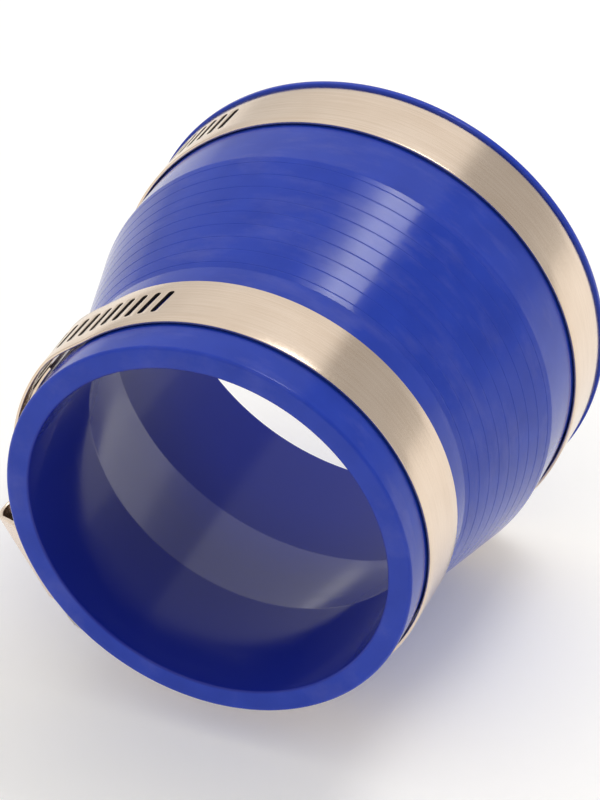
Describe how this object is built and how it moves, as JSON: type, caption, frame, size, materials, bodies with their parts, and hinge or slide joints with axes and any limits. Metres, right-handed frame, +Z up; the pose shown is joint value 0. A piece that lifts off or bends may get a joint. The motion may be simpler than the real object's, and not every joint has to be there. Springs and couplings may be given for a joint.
{
  "type": "pipe coupling",
  "caption": "Flexible reducing pipe coupling: a moulded elastomer sleeve with a small and a large end, held by worm-drive band clamps that turn, with screws that feed their slotted bands.",
  "frame": {"origin": "centre of the small end's bore, in the plane of the small end's face", "axes": "+Y along the pipe axis from the small end to the large end, +Z up, with the clamp housings low on the -X side"},
  "size_m": [0.1079, 0.087, 0.101],
  "materials": {
    "blue_elastomer": "smooth satin moulded elastomer with faint turned rings",
    "stainless_band": "rolled strip, satin, bright sheared edges",
    "stainless_pressing": "pressed sheet, satin",
    "steel_screw": "machined and rolled, semi-bright"
  },
  "bodies": {
    "sleeve": {"sleeve": "blue_elastomer"},
    "small_clamp": {"small_clamp_band": "stainless_band", "small_clamp_saddle": "stainless_pressing", "small_clamp_housing": "stainless_pressing"},
    "small_clamp_screw": {"small_clamp_screw": "steel_screw"},
    "small_clamp_tail": {"small_clamp_tail": "stainless_band"},
    "large_clamp": {"large_clamp_band": "stainless_band", "large_clamp_saddle": "stainless_pressing", "large_clamp_housing": "stainless_pressing"},
    "large_clamp_screw": {"large_clamp_screw": "steel_screw"},
    "large_clamp_tail": {"large_clamp_tail": "stainless_band"}
  },
  "joints": [
    {"name": "small_clamp_turn", "type": "hinge", "parent": "sleeve", "child": "small_clamp", "pos_m": [0, 0.01505, 0], "axis": [0, 1, 0], "continuous": true},
    {"name": "small_clamp_screw_turn", "type": "hinge", "parent": "small_clamp", "child": "small_clamp_screw", "pos_m": [-0.04123, 0.01505, -0.02477], "axis": [-0.515, 0, 0.8572], "range_deg": [-270, 720]},
    {"name": "small_clamp_band_feed", "type": "hinge", "parent": "small_clamp", "child": "small_clamp_tail", "pos_m": [0, 0.01505, 0], "axis": [0, -1, 0], "range_deg": [-3.08, 8.14]},
    {"name": "large_clamp_turn", "type": "hinge", "parent": "sleeve", "child": "large_clamp", "pos_m": [0, 0.07815, 0], "axis": [0, 1, 0], "continuous": true},
    {"name": "large_clamp_screw_turn", "type": "hinge", "parent": "large_clamp", "child": "large_clamp_screw", "pos_m": [-0.04749, 0.07815, -0.02853], "axis": [-0.515, 0, 0.8572], "range_deg": [-270, 720]},
    {"name": "large_clamp_band_feed", "type": "hinge", "parent": "large_clamp", "child": "large_clamp_tail", "pos_m": [0, 0.07815, 0], "axis": [0, -1, 0], "range_deg": [-2.65, 6.99]}
  ],
  "couplings": [
    {"joint": "small_clamp_band_feed", "follows": "small_clamp_screw_turn", "ratio": 0.011232},
    {"joint": "large_clamp_band_feed", "follows": "large_clamp_screw_turn", "ratio": 0.009632}
  ]
}
